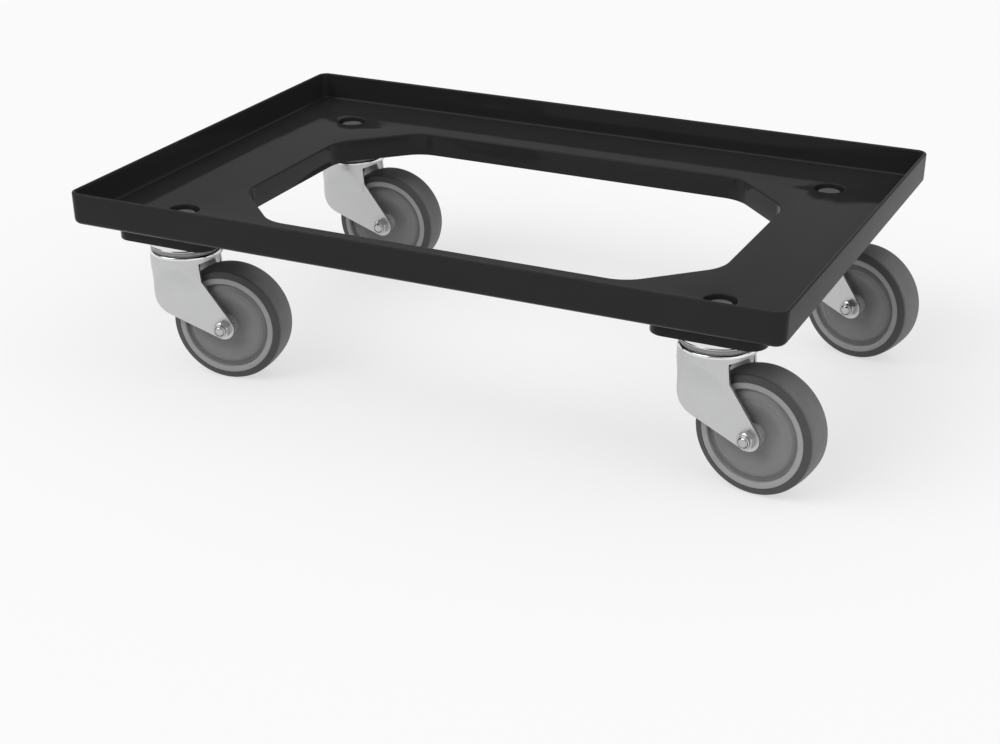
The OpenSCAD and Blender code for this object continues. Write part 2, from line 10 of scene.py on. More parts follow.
import bmesh
import bpy
import numpy as np
from bpy.props import FloatProperty, FloatVectorProperty, PointerProperty
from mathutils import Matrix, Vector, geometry


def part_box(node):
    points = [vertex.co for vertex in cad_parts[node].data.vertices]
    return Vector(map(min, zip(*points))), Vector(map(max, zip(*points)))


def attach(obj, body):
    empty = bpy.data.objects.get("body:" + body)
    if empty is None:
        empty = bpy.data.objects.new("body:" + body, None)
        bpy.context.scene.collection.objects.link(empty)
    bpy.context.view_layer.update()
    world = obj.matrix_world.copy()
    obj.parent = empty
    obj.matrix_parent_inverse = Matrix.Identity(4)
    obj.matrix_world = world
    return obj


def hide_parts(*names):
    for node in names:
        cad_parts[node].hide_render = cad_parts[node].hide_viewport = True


bl_info = {
    "name": "Crate dolly",
    "version": (1, 0, 0),
    "blender": (4, 5, 0),
    "location": "View3D > Sidebar > Dolly",
    "description": "Builds the tray, casters and studio of a crate dolly",
    "category": "Add Mesh",
}

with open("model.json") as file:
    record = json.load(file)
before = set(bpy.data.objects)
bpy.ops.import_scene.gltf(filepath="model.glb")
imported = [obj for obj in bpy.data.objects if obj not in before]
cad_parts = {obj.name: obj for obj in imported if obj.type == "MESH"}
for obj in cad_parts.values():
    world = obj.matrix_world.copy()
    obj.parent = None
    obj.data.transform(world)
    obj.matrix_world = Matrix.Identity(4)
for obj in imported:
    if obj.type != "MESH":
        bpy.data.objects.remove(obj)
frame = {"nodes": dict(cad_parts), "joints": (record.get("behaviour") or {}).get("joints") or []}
JOINTS = {j["name"]: j for j in frame["joints"]}
CORNERS = ("front_left", "front_right", "back_left", "back_right")
MM = 0.001
DEPTH = 21 * MM  # from the deck to the lower faces of the pads
FACE_Z = -DEPTH  # where the casters are bolted on
TRAY_HALF = np.array([310, 210]) * MM
OPEN_HALF = np.array([219, 138]) * MM
PAD_HALF = np.array([46, 38]) * MM
SLANT = 61.5 * MM  # from a caster's axis to the opening's slanted edge
WALL = 3 * MM
RIM_TOP = 25 * MM
DECK = 3 * MM
SKIRT = 3 * MM
PAD_WALL = 3.2 * MM
RIB = 2.4 * MM
RIB_TOP = -2.4 * MM  # ribs and webs start inside the deck
RIB_GAP = 46 * MM  # widest gap between the ribs across a strip
LONG_RIB = -10.7 * MM  # lower edge of the rib along a strip
RECESS_FLOOR = -13 * MM
BOLT_R = 6 * MM
BOLT_HOLE_R = 6.25 * MM
WASHER = 2.5 * MM
PIN_HOLE_R = 9.05 * MM  # hole for the kingpin in cup and fork
HEAD_R = 31 * MM  # outside of the cup and of the fork's round crown
SHEET = 2.5 * MM  # thickness of the cup and of the fork
WELD = 2e-6  # points of a piece that lie closer than this are one


def about_z(angle):
    """The matrix that turns rows of points about z, counter-clockwise as seen from above."""
    c, s = math.cos(angle), math.sin(angle)
    return np.array([[c, s, 0], [-s, c, 0], [0, 0, 1]])


class Caster:
    """Place and heading of one caster, read from the record's joints."""

    def __init__(self, corner):
        swivel = JOINTS[corner + "_swivel_turn"]["pos_m"]
        roll = JOINTS[corner + "_wheel_roll"]
        self.corner = corner
        self.body = corner + "_swivel"
        self.wheel = corner + "_wheel"
        self.pivot = np.array([swivel[0], swivel[1], FACE_Z])
        self.heading = math.atan2(-roll["axis"][0], roll["axis"][1])
        axle = np.array(roll["pos_m"]) - self.pivot
        self.trail = math.hypot(axle[0], axle[1])
        self.drop = -axle[2]

    def place(self, points):
        """Turns points of the caster's own frame by its heading and sets them at its pivot."""
        return points @ about_z(self.heading) + self.pivot

    def place_on_axle(self, points):
        """Lays points turned about z onto the axle: z goes to the outer side, where the nut is."""
        laid = np.stack([points[..., 0], -points[..., 2], points[..., 1]], -1)
        return self.place(laid + np.array([self.trail, 0, -self.drop]))


CASTERS = [Caster(corner) for corner in CORNERS]


# Curves and surfaces


def arc(centre, radius, start, end, steps=6):
    """Points at a radius from a centre, their angle going evenly from start to end, in degrees."""
    a = np.radians(np.linspace(start, end, steps + 1))
    return np.stack([centre[0] + radius * np.cos(a), centre[1] + radius * np.sin(a)], -1)


def soften(points, radii, steps=6, closed=True):
    """A path whose corners are replaced by arcs that touch both sides, each of its own radius."""
    points = np.array(points, float)
    made = []
    for i, r in enumerate(radii):
        before, here, after = points[i - 1], points[i], points[(i + 1) % len(points)]
        if r <= 0 or (not closed and i in (0, len(points) - 1)):
            made.append(here[None])
            continue
        a = (before - here) / np.linalg.norm(before - here)
        b = (after - here) / np.linalg.norm(after - here)
        half = math.acos(np.clip(a @ b, -1, 1)) / 2
        middle = (a + b) / np.linalg.norm(a + b)
        centre = here + middle * r / math.sin(half)
        t = np.linspace(-1, 1, steps + 1)[:, None] * (math.pi / 2 - half)
        side = (b - a) / np.linalg.norm(b - a)
        made.append(centre + r * (-middle * np.cos(t) + side * np.sin(t)))
    return np.concatenate(made)


def resample(path, count):
    """Count points spread evenly along a path, found by the distance walked along it."""
    walked = np.concatenate([[0], np.cumsum(np.linalg.norm(np.diff(path, axis=0), axis=1))])
    s = np.linspace(0, walked[-1], count)
    return np.stack([np.interp(s, walked, path[:, k]) for k in range(path.shape[1])], -1)


def grid(points, wrap_u=False, wrap_v=False, flip=False):
    """Four-sided faces over a grid of points, with map coordinates from 0 to 1 both ways."""
    m, n = points.shape[:2]
    rows = m if wrap_u else m - 1
    cols = n if wrap_v else n - 1
    i, j = np.meshgrid(np.arange(rows), np.arange(cols), indexing="ij")
    ii = np.stack([i, i + 1, i + 1, i], -1).reshape(-1, 4)
    jj = np.stack([j, j, j + 1, j + 1], -1).reshape(-1, 4)
    faces = (ii % m) * n + jj % n
    places = np.stack([ii / rows, jj / cols], -1)
    if flip:
        faces, places = faces[:, ::-1], places[:, ::-1]
    return points.reshape(-1, 3), faces, places


def revolve(profile, steps=96):
    """A surface of revolution: the profile's radius and height at even angles about z."""
    a = np.linspace(0, 2 * math.pi, steps, endpoint=False)[:, None]
    r, h = profile[None, :, 0], profile[None, :, 1]
    return np.stack([r * np.cos(a), r * np.sin(a), h + 0 * a], -1)


def hexagon_radius(a, flats):
    """Distance from a hexagon's centre to its side at angle a."""
    return flats / 2 / np.cos((a + math.pi / 6) % (math.pi / 3) - math.pi / 6)


def hex_head(flats, height, bore=0.0, steps=96):
    """A hexagonal prism cut by a cone of 30 degrees: the top edge sinks as the radius grows."""
    a = np.linspace(0, 2 * math.pi, steps, endpoint=False)
    out = hexagon_radius(a, flats)
    top = flats / 2 * 0.95
    edge = height - (out - top) * math.tan(math.pi / 6)
    foot, lip = 0.3 * MM, 0.5 * MM
    rows = [(bore, 0), (out - foot, 0), (out, foot), (out, edge), (top, height)]
    rows += [(bore + lip, height), (bore, height - lip)] if bore else [(0, height)]
    r, h = (np.stack([row[k] + 0 * a for row in rows], -1) for k in (0, 1))
    return np.stack([r * np.cos(a)[:, None], r * np.sin(a)[:, None], h], -1)


def threaded(radius, start, end, pitch, steps=48):
    """A threaded end: the radius dips by a sawtooth of height minus turn, and fades at its end."""
    rows = max(8, int((end - start) / pitch * 8))
    z = np.linspace(start, end, rows)[None]
    a = np.linspace(0, 2 * math.pi, steps, endpoint=False)[:, None]
    phase = (z / pitch - a / (2 * math.pi)) % 1
    depth = 0.55 * pitch * (1 - abs(2 * phase - 1))
    fade = np.clip((end - z) / (0.8 * MM), 0, 1)
    r = radius - depth * fade - (1 - fade) * 0.9 * MM
    body = np.stack([r * np.cos(a), r * np.sin(a), z + 0 * a], -1)
    low, high = (np.tile([0, 0, at], (steps, 1, 1)) for at in (start, end))
    return np.concatenate([low, body, high], 1)


def bar(start, end, thickness, top, bottom_start, bottom_end):
    """A straight rib: eight corners, upright sides and a lower edge that may slope."""
    start, end = np.array(start, float), np.array(end, float)
    across = np.array([-(end - start)[1], (end - start)[0]])
    across *= thickness / 2 / np.linalg.norm(across)
    ring = [(across, top, top), (-across, top, top),
            (-across, bottom_start, bottom_end), (across, bottom_start, bottom_end)]
    ends = [[[*(p + side), low if k == 0 else high] for side, low, high in ring]
            for k, p in enumerate((start, end))]
    caps = [[[*p, z] for _ in ring] for p, z in ((start, (top + bottom_start) / 2),
                                                   (end, (top + bottom_end) / 2))]
    return np.array([caps[0], ends[0], ends[1], caps[1]])


class Outline:
    """A convex outline with rounded corners, its points given with their outward normals."""

    def __init__(self, corners, radius, steps=10):
        corners = np.array(corners, float)
        centres, normals = [], []
        for i, here in enumerate(corners):
            a = here - corners[i - 1]
            b = corners[(i + 1) % len(corners)] - here
            a, b = a / np.linalg.norm(a), b / np.linalg.norm(b)
            turn = math.atan2(a[0] * b[1] - a[1] * b[0], a @ b)
            centre = here - a * radius * math.tan(turn / 2) + radius * np.array([-a[1], a[0]])
            angle = math.atan2(a[1], a[0]) - math.pi / 2 + np.linspace(0, turn, steps + 1)
            normals.append(np.stack([np.cos(angle), np.sin(angle)], -1))
            centres.append(np.repeat(centre[None], steps + 1, 0))
        self.normals = np.concatenate(normals)
        self.points = np.concatenate(centres) + radius * self.normals

    def loop(self, out):
        """The outline moved outwards along its normals."""
        return self.points + out * self.normals

    def carry(self, profile):
        """The profile carried round the outline: x along the normal, y upwards."""
        x = profile[None, :, 0, None]
        flat = self.points[:, None] + x * self.normals[:, None]
        z = np.broadcast_to(profile[None, :, 1, None], (len(self.points), len(profile), 1))
        return np.concatenate([flat, z], -1)


def inside(points, loop):
    """True where a point lies to the left of every side of a convex loop."""
    side = np.roll(loop, -1, 0) - loop
    rel = points[:, None] - loop[None]
    return np.all(side[None, :, 0] * rel[..., 1] - side[None, :, 1] * rel[..., 0] > 0, 1)


def flat_fill(outer, holes, z, flip=False):
    """Triangles of the level area inside a convex loop and outside the convex holes."""
    loops = [outer, *holes]
    flat = np.concatenate(loops)
    edges, first = [], 0
    for loop in loops:
        k = np.arange(len(loop))
        edges.append(np.stack([first + k, first + (k + 1) % len(loop)], -1))
        first += len(loop)
    made = geometry.delaunay_2d_cdt(
        flat.tolist(), np.concatenate(edges).tolist(), [], 0, 1e-9)
    points = np.array([list(p) for p in made[0]])
    faces = np.array([list(f) for f in made[2]])
    middle = points[faces].mean(1)
    keep = inside(middle, outer)
    for hole in holes:
        keep &= ~inside(middle, hole)
    faces = faces[keep]
    if flip:
        faces = faces[:, ::-1]
    solid = np.concatenate([points, np.full((len(points), 1), z)], 1)
    return solid, faces, points[faces]


def piece(name, shells, body, material, stands_for=(), crease=32, outwards=True):
    """One mesh object from its shells: merged, closed, shaded smooth up to the crease angle."""
    mesh = bpy.data.meshes.new(name)
    points, faces, places, first = [], [], [], 0
    for p, f, uv in shells:
        points.append(p)
        faces += (f + first).tolist()
        places.append(uv.reshape(-1, 2))
        first += len(p)
    mesh.from_pydata(np.concatenate(points).tolist(), [], faces)
    layer = mesh.uv_layers.new(name="map")
    layer.data.foreach_set("uv", np.concatenate(places).astype(np.float32).ravel())
    work = bmesh.new()
    work.from_mesh(mesh)
    bmesh.ops.remove_doubles(work, verts=work.verts, dist=WELD)
    bmesh.ops.dissolve_degenerate(work, edges=work.edges, dist=1e-7)
    if outwards:
        bmesh.ops.recalc_face_normals(work, faces=work.faces)
    work.to_mesh(mesh)
    work.free()
    mesh.shade_smooth()
    mesh.set_sharp_from_angle(angle=math.radians(crease))
    mesh.materials.append(material)
    made = bpy.data.objects.new(name, mesh)
    bpy.context.scene.collection.objects.link(made)
    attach(made, body)
    if stands_for:
        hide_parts(*stands_for)
    return made


# Materials


class Socket:
    """A node's output, so that shader maths reads as Python."""

    def __init__(self, tree, output):
        self.tree = tree
        self.output = output

    def math(self, operation, *others):
        """The socket and the others put through a Math node."""
        return self.tree.node("ShaderNodeMath", {"operation": operation},
                              dict(enumerate([self, *others])))["Value"]

    def __add__(self, other):
        return self.math("ADD", other)

    def __sub__(self, other):
        return self.math("SUBTRACT", other)

    def __rsub__(self, other):
        return self.tree.node("ShaderNodeMath", {"operation": "SUBTRACT"},
                              {0: other, 1: self})["Value"]

    def __mul__(self, other):
        return self.math("MULTIPLY", other)

    def __truediv__(self, other):
        return self.math("DIVIDE", other)


class Node:
    """A node whose outputs are read by name, or by place where a name stands for several."""

    def __init__(self, tree, made):
        self.tree = tree
        self.made = made

    def __getitem__(self, name):
        return Socket(self.tree, self.made.outputs[name])


class Tree:
    """A node tree that starts empty and is built up from expressions."""

    def __init__(self, owner):
        owner.use_nodes = True
        self.tree = owner.node_tree
        self.tree.nodes.clear()

    def feed(self, node, key, value):
        """Links a node's input to a socket, or sets it."""
        if isinstance(value, Socket):
            self.tree.links.new(value.output, node.inputs[key])
        else:
            node.inputs[key].default_value = value

    def node(self, kind, settings=None, inputs=None):
        """Adds a node: its settings first, then the values or links of its sockets."""
        made = self.tree.nodes.new(kind)
        for key, value in (settings or {}).items():
            setattr(made, key, value)
        for key, value in (inputs or {}).items():
            self.feed(made, key, value)
        return Node(self, made)

    def between(self, value, low, high):
        """0 below low, 1 above high, smooth in between."""
        return self.node("ShaderNodeMapRange", {"interpolation_type": "SMOOTHSTEP"}, {
            "Value": value, "From Min": low, "From Max": high})["Result"]

    def spread(self, value, low, high):
        """0 to 1 stretched to go from low to high."""
        return self.node("ShaderNodeMapRange", {}, {
            "Value": value, "To Min": low, "To Max": high})["Result"]

    def seen(self):
        """1 for what the camera sees, directly, in metal or through glass, and 0 for light."""
        path = self.node("ShaderNodeLightPath")
        direct = path["Is Camera Ray"].math("MAXIMUM", path["Is Glossy Ray"])
        return direct.math("MAXIMUM", path["Is Transmission Ray"])


class Finish(Tree):
    """A material with one principled shader, built up from nodes."""

    def __init__(self, name, **fixed):
        self.material = bpy.data.materials.new(name)
        super().__init__(self.material)
        self.shader = self.node("ShaderNodeBsdfPrincipled", {}, fixed)
        self.output = self.node("ShaderNodeOutputMaterial", {}, {"Surface": self.shader["BSDF"]})
        self.place = self.node("ShaderNodeTexCoord")["Object"]

    def set(self, name, value):
        """Links or sets one socket of the shader."""
        self.feed(self.shader.made, name, value)

    def noise(self, scale, detail=3.0, roughness=0.5, stretch=(1, 1, 1), place=None):
        """Noise in object space, squeezed by stretch along each axis."""
        where = self.node("ShaderNodeMapping", {}, {
            "Vector": place or self.place, "Scale": stretch})["Vector"]
        return self.node("ShaderNodeTexNoise", {}, {
            "Vector": where, "Scale": scale, "Detail": detail, "Roughness": roughness})["Fac"]

    def mix(self, share, first, second):
        """Goes from the first colour to the second."""
        return self.node("ShaderNodeMix", {"data_type": "RGBA"}, {
            0: share, 6: first, 7: second})[2]

    def bump(self, height, strength, distance):
        """Bump from a height, feeding the shader's normal."""
        made = self.node("ShaderNodeBump", {}, {
            "Height": height, "Strength": strength, "Distance": distance})
        self.set("Normal", made["Normal"])


def grey(value, warmth=0.0):
    """A neutral colour of that linear brightness, slightly warmer or cooler."""
    return (value * (1 + warmth), value, value * (1 - warmth), 1.0)


def tint(colour, factor):
    """The colour made lighter or darker."""
    return (*[min(1.0, c * factor) for c in colour[:3]], 1.0)


FINISHES = {}


def finish(name):
    """The material of that name, made once from the colours in the sidebar."""
    if name not in FINISHES:
        FINISHES[name] = MAKERS[name](bpy.context.scene.dolly_colours)
    return FINISHES[name]


def tray_plastic(look):
    """Black moulded plastic: a smooth deck, grained outer walls and light scuffs on the rim."""
    made = Finish("tray_plastic", **{"Specular IOR Level": 0.08, "IOR": 1.49})
    cloud = made.noise(14, 4)
    grain = made.noise(1400, 2)
    scratch = made.noise(60, 5, 0.62, (1, 14, 1))
    place = made.node("ShaderNodeSeparateXYZ", {}, {"Vector": made.place})
    rim = made.between(place["Z"], RIM_TOP - 1.8 * MM, RIM_TOP)
    along = place["X"].math("ABSOLUTE") / TRAY_HALF[0]
    across = place["Y"].math("ABSOLUTE") / TRAY_HALF[1]
    outer = made.between(along.math("MAXIMUM", across), 0.9955, 0.9975)
    scuff = rim * made.between(made.noise(90, 6, 0.7, (1, 1, 0.2)), 0.5, 0.66)
    base = made.mix(cloud, tint(look.tray, 0.88), tint(look.tray, 1.14))
    made.set("Base Color", made.mix(scuff * 0.3, base, tint(look.tray, 1.8)))
    rubbed = made.between(scratch, 0.56, 0.7)
    made.set("Roughness", made.spread(cloud, 0.05, 0.1) + outer * 0.3 + rubbed * 0.04
             + scuff * 0.1)
    wave = made.noise(24, 2)
    made.bump(wave * 1.6 + grain * 0.04 + scratch * 0.03, 1.0, 0.1 * MM)
    return made.material


def zinc_sheet(look):
    """Zinc plated pressed steel: satin with a fine drawn grain, polished on the shoulder."""
    made = Finish("zinc_sheet", **{"Metallic": 1.0})
    cloud = made.noise(48, 4, 0.6)
    drawn = made.noise(420, 4, 0.6, (1, 1, 0.12))
    base = made.mix(cloud, tint(look.zinc, 0.93), tint(look.zinc, 1.05))
    spot = made.between(made.noise(230, 3), 0.66, 0.74)
    height = made.node("ShaderNodeSeparateXYZ", {}, {"Vector": made.place})["Z"]
    crown = FACE_Z + SHOULDER_Z
    polish = made.between(height, crown - 0.6 * MM, crown + 0.2 * MM)
    satin = made.mix(spot * 0.35, base, tint(look.zinc, 0.8))
    made.set("Base Color", made.mix(polish, satin, look.bright_zinc))
    rough = made.spread(cloud, 0.3, 0.38) + drawn * 0.06
    made.set("Roughness", rough * (1 - polish) + polish * 0.07)
    made.bump(drawn + cloud * 2, 0.1, 0.08 * MM)
    return made.material


def bright_zinc(look):
    """Polished zinc on turned parts: fine lines that follow the turning."""
    made = Finish("bright_zinc", **{"Metallic": 1.0})
    place = made.node("ShaderNodeUVMap", {"uv_map": "map"})["UV"]
    lines = made.noise(90, 3, 0.6, (0.05, 3, 1), place)
    cloud = made.noise(60, 3)
    made.set("Base Color", made.mix(cloud, tint(look.bright_zinc, 0.95), look.bright_zinc))
    made.set("Roughness", made.spread(lines, 0.04, 0.1))
    made.bump(lines, 0.05, 0.04 * MM)
    return made.material


def loose_zinc(look):
    """Zinc plating on small turned parts and fasteners."""
    made = Finish("loose_zinc", **{"Metallic": 1.0})
    cloud = made.noise(160, 4, 0.6)
    pits = made.noise(1600, 2)
    made.set("Base Color", made.mix(cloud, tint(look.zinc, 0.66), tint(look.zinc, 1.05)))
    made.set("Roughness", made.spread(cloud, 0.12, 0.26))
    made.bump(pits + cloud, 0.12, 0.06 * MM)
    return made.material


def dark_zinc(look):
    """Dull dark plating on the mounting bolts."""
    made = Finish("dark_zinc", **{"Metallic": 1.0})
    cloud = made.noise(140, 4, 0.6)
    pits = made.noise(1300, 2)
    made.set("Base Color", made.mix(cloud, tint(look.dark_zinc, 0.75), tint(look.dark_zinc, 1.2)))
    made.set("Roughness", made.spread(cloud, 0.34, 0.5))
    made.bump(pits, 0.2, 0.08 * MM)
    return made.material


def moulded_grey(name, colour, roughness):
    """Grey moulded plastic or rubber with a soft sheen, fine grain and faint turned lines."""
    made = Finish(name, **{"Specular IOR Level": 0.4, "IOR": 1.49})
    cloud = made.noise(70, 4)
    grain = made.noise(1700, 2)
    place = made.node("ShaderNodeUVMap", {"uv_map": "map"})["UV"]
    lines = made.noise(60, 2, 0.5, (0.1, 3, 1), place)
    made.set("Base Color", made.mix(cloud, tint(colour, 0.92), tint(colour, 1.08)))
    made.set("Roughness", made.spread(cloud, roughness - 0.04, roughness + 0.05))
    made.bump(grain * 0.6 + lines * 0.5, 0.12, 0.12 * MM)
    return made.material


def tyre_rubber(look):
    """Grey rubber: matt, with fine grain, and the tread paler in its middle: partly wear, partly
    painted light that stands in for light falling on the tread.
    """
    made = Finish("tyre_rubber", **{"Specular IOR Level": 0.36, "IOR": 1.5})
    place = made.node("ShaderNodeUVMap", {"uv_map": "map"})["UV"]
    across = made.node("ShaderNodeSeparateXYZ", {}, {"Vector": place})["Y"]
    off = (across - 0.5).math("ABSOLUTE")
    tread = 1 - made.between(off, 0.13, 0.24)
    cloud = made.noise(55, 5, 0.6)
    grain = made.noise(1500, 2)
    # painted light: the middle of the tread is made paler and rougher, partly as wear and partly
    # as painted light on the tread
    wear_and_painted_light = tread * made.spread(made.between(cloud, 0.3, 0.7), 0.75, 1.0)
    base = made.mix(cloud, tint(look.tyre, 0.9), tint(look.tyre, 1.1))
    # the pale tread tint is partly wear and partly painted light
    made.set("Base Color", made.mix(wear_and_painted_light * 0.8, base, tint(look.tyre, 3.3)))
    made.set("Roughness", made.spread(cloud, 0.46, 0.56) + wear_and_painted_light * 0.1)
    lines = made.noise(50, 2, 0.5, (0.06, 4, 1), place)
    made.bump(grain + lines * 0.5, 0.16, 0.14 * MM)
    return made.material


def floor_paint(stage):
    """Plain pale floor, seen nearly white by the camera and in metal."""
    made = Finish("floor_paint", **{"Roughness": 0.7, "Specular IOR Level": 0.2})
    cloud = made.noise(0.6, 2)
    made.set("Base Color", made.mix(cloud, tint(stage.floor, 0.995), stage.floor))
    white = made.node("ShaderNodeEmission", {}, {"Color": grey(1.0), "Strength": 1.0})
    both = made.node("ShaderNodeMixShader", {}, {
        0: made.seen() * stage.glow, 1: made.shader["BSDF"], 2: white["Emission"]})
    made.feed(made.output.made, "Surface", both["Shader"])
    return made.material


MAKERS = {
    "tray": tray_plastic,
    "zinc": zinc_sheet,
    "bright_zinc": bright_zinc,
    "loose_zinc": loose_zinc,
    "dark_zinc": dark_zinc,
    "seal": lambda look: moulded_grey("seal_rubber", look.seal, 0.35),
    "hub": lambda look: moulded_grey("hub_plastic", look.hub, 0.42),
    "cover": lambda look: moulded_grey("cover_plastic", look.cover, 0.4),
    "tyre": tyre_rubber,
}


def paint(nodes, name):
    """Gives carried-over solids a finish by way of their material slots."""
    for node in nodes:
        target = frame["nodes"][node]
        if not target.material_slots:
            target.data.materials.append(finish(name))
        for slot in target.material_slots:
            slot.material = finish(name)


def each(*parts):
    """The node names of these parts at all four corners."""
    return [f"{corner}_{part}" for part in parts for corner in CORNERS]


# Properties


def number(name, description, default, least=0.0, **more):
    """A number that is not below the least."""
    return FloatProperty(name=name, description=description, default=default, min=least, **more)


def length(name, description, default):
    """A size in metres."""
    return number(name, description, default, unit="LENGTH", subtype="DISTANCE", precision=4)


def colour(name, description, value, warmth=0.0):
    """A colour, given by its linear brightness."""
    return FloatVectorProperty(name=name, description=description, subtype="COLOR", size=4,
                               min=0.0, max=1.0, default=grey(value, warmth))


class DollyTray(bpy.types.PropertyGroup):
    """Sizes of the tray's mouldings."""

    opening_edge: length("Opening edge", "Radius of the edge round the opening", 1.5 * MM)
    wall_draft: length("Wall draft", "How far the rim's foot lies inside its top", 0.5 * MM)
    deck_fillet: length("Deck fillet", "Radius between the rim and the deck", 2.5 * MM)
    lower_edge: length("Lower edge", "Radius of the edge under the rim", 5 * MM)
    skirt_edge: length("Skirt edge", "Radius of the skirt's lower edges", 0.7 * MM)


class DollyCaster(bpy.types.PropertyGroup):
    """Sizes of the fork and the swivel head."""

    sheet: length("Fork sheet", "Thickness of the fork's sheet", SHEET)
    sheet_edge: length("Sheet edge", "Bevel on the edges of the fork's sheet", 0.6 * MM)
    front_blend: length("Front blend", "Softness of the fold between crown and leg", 2.6 * MM)
    shoulder: length("Shoulder", "Radius of the crown's shoulder", 3 * MM)


class DollyWheel(bpy.types.PropertyGroup):
    """Sizes of the tyre, the hub and its covers."""

    shoulder: length("Tyre shoulder", "Radius of the tyre's shoulder", 1.4 * MM)
    crown: length("Tread crown", "How much the tread rises in its middle", 1 * MM)
    ring_edge: length("Ring edge", "Radius of the hub ring's edges", 0.9 * MM)


class DollyColours(bpy.types.PropertyGroup):
    """Colours of the materials."""

    tray: colour("Tray", "Black plastic of the tray", 0.0215, 0.01)
    zinc: colour("Zinc", "Plated sheet of the forks", 0.58, -0.004)
    bright_zinc: colour("Bright zinc", "Polished plating of the race cups", 0.8)
    dark_zinc: colour("Dark zinc", "Plating of the mounting bolts", 0.26)
    hub: colour("Hub", "Plastic of the hub", 0.325)
    cover: colour("Cover", "Plastic of the hub covers", 0.2)
    tyre: colour("Tyre", "Rubber of the tyre", 0.063)
    seal: colour("Dust ring", "Rubber of the dust ring", 0.33)


class DollyStage(bpy.types.PropertyGroup):
    """The studio round the dolly."""

    floor: colour("Floor", "Pale floor", 0.95)
    glow: number("Floor white", "Share of white in the floor as seen", 0.6, max=1.0)
    sky: number("Sky", "Light from above, less near the horizon", 0.55)
    key: number("Key lamp", "Strength of the main lamp", 1.35)
    fill: number("Fill lamp", "Strength of the second lamp", 0.65)
    lens: number("Lens", "Focal length of the camera, in millimetres", 66.886, 1.0)


# Pieces


def rectangle(half):
    """Four corners about the middle, counter-clockwise."""
    x, y = half
    return [[x, -y], [x, y], [-x, y], [-x, -y]]


def opening_outline():
    """The octagonal opening: a rectangle with slanted corners at a distance from each caster."""
    x, y = OPEN_HALF
    cut = x + y - abs(CASTERS[0].pivot[:2]).sum() + SLANT * math.sqrt(2)
    return Outline([[x, -y + cut], [x, y - cut], [x - cut, y], [-x + cut, y],
                    [-x, y - cut], [-x, -y + cut], [-x + cut, -y], [x - cut, -y]], 35 * MM, 14)


